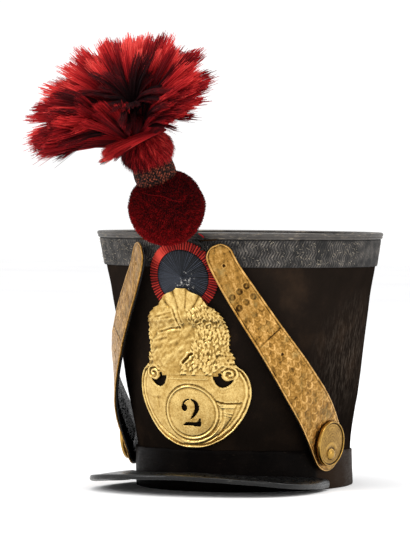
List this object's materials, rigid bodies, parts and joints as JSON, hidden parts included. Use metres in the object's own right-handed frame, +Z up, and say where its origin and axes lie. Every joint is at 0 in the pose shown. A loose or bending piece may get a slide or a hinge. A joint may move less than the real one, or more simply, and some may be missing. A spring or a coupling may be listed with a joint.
{
  "type": "military shako hat",
  "caption": "Tall flared felt shako with leather crown, base band and peak, stamped plate, cockade, scaled chin straps with bosses, pompom and burst plume.",
  "frame": {"origin": "centre of the head opening, in the plane of the rim that the hat stands on", "axes": "+Z up through the crown, -Y to the front where the plate and peak are, +X to the wearer's left"},
  "size_m": [0.238, 0.3915, 0.3808],
  "materials": {
    "felt": "worn brown-black stiff felt",
    "base_leather": "scuffed dark leather band",
    "galon": "grey-black woven band with pale fibres",
    "crown_leather": "worn blue-grey black leather",
    "peak_leather": "worn grey-black leather",
    "gilt_brass": "stamped gilt brass sheet",
    "strap_brass": "dull stamped brass",
    "black_leather": "black glossy leather",
    "red_cloth": "pleated red cloth",
    "blue_black_cloth": "pleated blue-black cloth",
    "black_cloth": "black cloth and cord",
    "red_wool": "dense dark red wool pile",
    "net": "dark net cord with copper flecks",
    "red_plume": "stiff crimson plume locks"
  },
  "bodies": {
    "root": {"felt_body": "felt", "base_band": "base_leather", "galon_band": "galon", "crown_top": "crown_leather", "crown_ring": "crown_leather", "peak": "peak_leather", "plate": "gilt_brass", "cockade_rim": "red_cloth", "cockade_disc": "blue_black_cloth", "strap_lining_left": "black_leather", "strap_scales_left": "strap_brass", "strap_boss_left": "strap_brass", "strap_hook_left": "strap_brass", "strap_lining_right": "black_leather", "strap_scales_right": "strap_brass", "strap_boss_right": "strap_brass", "strap_hook_right": "strap_brass", "plume_socket": "black_cloth", "pompom": "red_wool", "plume_turban": "net", "plume_collar": "red_plume", "plume_head": "red_plume"}
  },
  "joints": []
}
